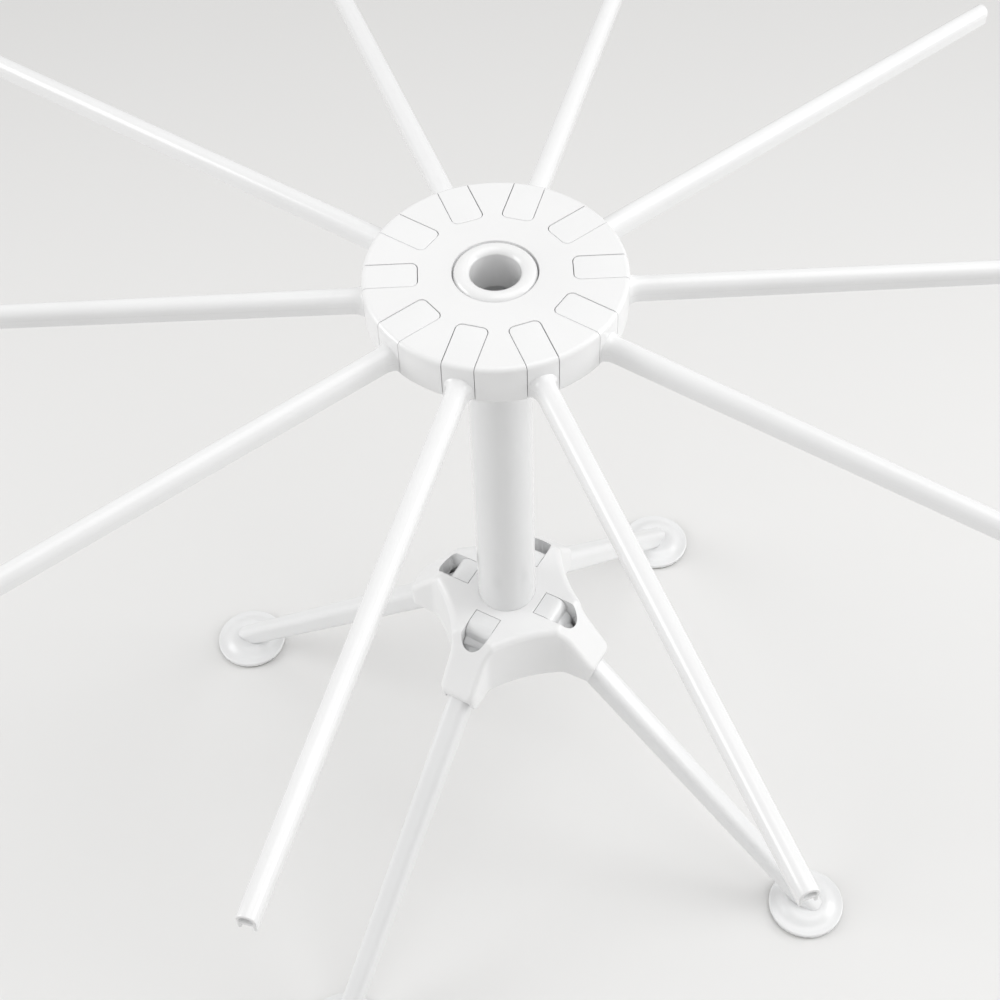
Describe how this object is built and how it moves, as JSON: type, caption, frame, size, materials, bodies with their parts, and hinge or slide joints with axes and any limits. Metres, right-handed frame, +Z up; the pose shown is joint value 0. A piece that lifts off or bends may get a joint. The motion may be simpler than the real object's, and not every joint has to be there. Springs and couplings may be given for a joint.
{
  "type": "pasta drying rack",
  "caption": "Free-standing rack with radial arms that fold down from a turning round hub, on a hollow column with a lobed base and folding splayed legs.",
  "frame": {"origin": "on the column's axis at the table, under the middle of the rack", "axes": "+Z up along the column, +X to the viewer's right along an arm, +Y away from the viewer"},
  "size_m": [0.583, 0.5586, 0.3972],
  "materials": {
    "shell_plastic": "gloss",
    "column_plastic": "gloss",
    "arm_plastic": "gloss",
    "leg_plastic": "gloss",
    "cover_plastic": "satin",
    "pad_rubber": "matte",
    "screw_steel": "satin"
  },
  "bodies": {
    "stand": {"column": "column_plastic", "column_cap": "shell_plastic", "base_shell": "shell_plastic", "base_cover": "cover_plastic", "base_screws": "screw_steel"},
    "hub": {"hub_shell": "shell_plastic", "hub_cover": "cover_plastic", "hub_screws": "screw_steel"},
    "arm_01": {"arm_01": "arm_plastic"},
    "arm_02": {"arm_02": "arm_plastic"},
    "arm_03": {"arm_03": "arm_plastic"},
    "arm_04": {"arm_04": "arm_plastic"},
    "arm_05": {"arm_05": "arm_plastic"},
    "arm_06": {"arm_06": "arm_plastic"},
    "arm_07": {"arm_07": "arm_plastic"},
    "arm_08": {"arm_08": "arm_plastic"},
    "arm_09": {"arm_09": "arm_plastic"},
    "arm_10": {"arm_10": "arm_plastic"},
    "leg_1": {"leg_1": "leg_plastic", "foot_1": "leg_plastic", "foot_pad_1": "pad_rubber"},
    "leg_2": {"leg_2": "leg_plastic", "foot_2": "leg_plastic", "foot_pad_2": "pad_rubber"},
    "leg_3": {"leg_3": "leg_plastic", "foot_3": "leg_plastic", "foot_pad_3": "pad_rubber"},
    "leg_4": {"leg_4": "leg_plastic", "foot_4": "leg_plastic", "foot_pad_4": "pad_rubber"}
  },
  "joints": [
    {"name": "hub_turn", "type": "hinge", "parent": "stand", "child": "hub", "pos_m": [0, 0, 0.376], "axis": [0, 0, 1], "continuous": true},
    {"name": "arm_01_fold", "type": "hinge", "parent": "hub", "child": "arm_01", "pos_m": [0.046, 0.00048, 0.3835], "axis": [-0.0105, 0.9999, 0], "range_deg": [0, 84]},
    {"name": "arm_02_fold", "type": "hinge", "parent": "hub", "child": "arm_02", "pos_m": [0.03693, 0.02743, 0.3835], "axis": [-0.5962, 0.8028, 0], "range_deg": [0, 84]},
    {"name": "arm_03_fold", "type": "hinge", "parent": "hub", "child": "arm_03", "pos_m": [0.01376, 0.0439, 0.3835], "axis": [-0.9542, 0.299, 0], "range_deg": [0, 84]},
    {"name": "arm_04_fold", "type": "hinge", "parent": "hub", "child": "arm_04", "pos_m": [-0.01467, 0.0436, 0.3835], "axis": [-0.9478, -0.319, 0], "range_deg": [0, 84]},
    {"name": "arm_05_fold", "type": "hinge", "parent": "hub", "child": "arm_05", "pos_m": [-0.0375, 0.02665, 0.3835], "axis": [-0.5793, -0.8151, 0], "range_deg": [0, 84]},
    {"name": "arm_06_fold", "type": "hinge", "parent": "hub", "child": "arm_06", "pos_m": [-0.046, -0.00048, 0.3835], "axis": [0.0105, -0.9999, 0], "range_deg": [0, 84]},
    {"name": "arm_07_fold", "type": "hinge", "parent": "hub", "child": "arm_07", "pos_m": [-0.03693, -0.02743, 0.3835], "axis": [0.5962, -0.8028, 0], "range_deg": [0, 84]},
    {"name": "arm_08_fold", "type": "hinge", "parent": "hub", "child": "arm_08", "pos_m": [-0.01376, -0.0439, 0.3835], "axis": [0.9542, -0.299, 0], "range_deg": [0, 84]},
    {"name": "arm_09_fold", "type": "hinge", "parent": "hub", "child": "arm_09", "pos_m": [0.01467, -0.0436, 0.3835], "axis": [0.9478, 0.319, 0], "range_deg": [0, 84]},
    {"name": "arm_10_fold", "type": "hinge", "parent": "hub", "child": "arm_10", "pos_m": [0.0375, -0.02665, 0.3835], "axis": [0.5793, 0.8151, 0], "range_deg": [0, 84]},
    {"name": "leg_1_fold", "type": "hinge", "parent": "stand", "child": "leg_1", "pos_m": [0.01365, 0.02271, 0.1605], "axis": [-0.8572, 0.515, 0], "range_deg": [0, 40]},
    {"name": "leg_2_fold", "type": "hinge", "parent": "stand", "child": "leg_2", "pos_m": [-0.02271, 0.01365, 0.1605], "axis": [-0.515, -0.8572, 0], "range_deg": [0, 40]},
    {"name": "leg_3_fold", "type": "hinge", "parent": "stand", "child": "leg_3", "pos_m": [-0.01365, -0.02271, 0.1605], "axis": [0.8572, -0.515, 0], "range_deg": [0, 40]},
    {"name": "leg_4_fold", "type": "hinge", "parent": "stand", "child": "leg_4", "pos_m": [0.02271, -0.01365, 0.1605], "axis": [0.515, 0.8572, 0], "range_deg": [0, 40]}
  ]
}
